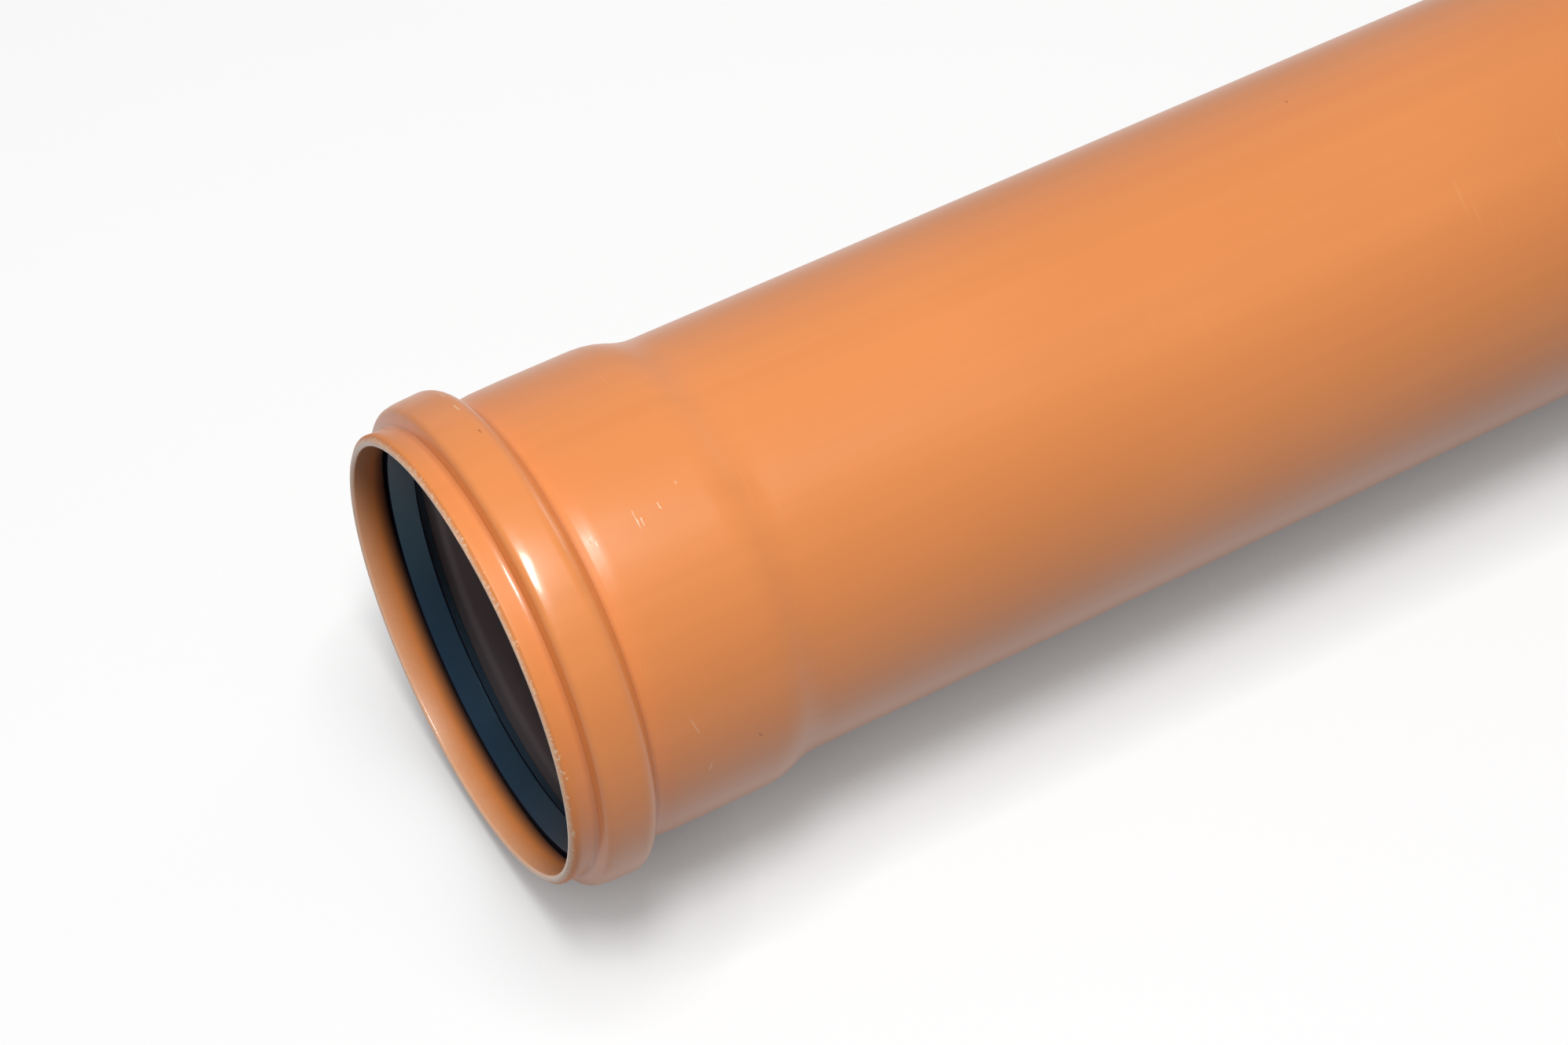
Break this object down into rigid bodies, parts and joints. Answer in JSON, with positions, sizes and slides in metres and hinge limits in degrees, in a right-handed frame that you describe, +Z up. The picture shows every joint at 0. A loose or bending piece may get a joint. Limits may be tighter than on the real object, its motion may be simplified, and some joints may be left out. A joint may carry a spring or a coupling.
{
  "type": "pvc pipe",
  "caption": "Orange-brown PVC drain pipe lying on its side, with a beaded push-fit socket that holds a rubber lip seal at one end and a chamfered spigot at the other.",
  "frame": {"origin": "on the floor under the middle of the lying pipe", "axes": "+X along the pipe from the socket's mouth to the spigot, level; +Z up. The pipe's own axis dips 0.66 degrees below +X, because the pipe rests on its bead and on its spigot"},
  "size_m": [1.0838, 0.1842, 0.1843],
  "materials": {
    "pvc": "extruded semi-gloss orange-brown",
    "seal_rubber": "matt blue-black moulded rubber"
  },
  "bodies": {
    "root": {"pipe": "pvc", "sealing_ring": "seal_rubber"}
  },
  "joints": []
}
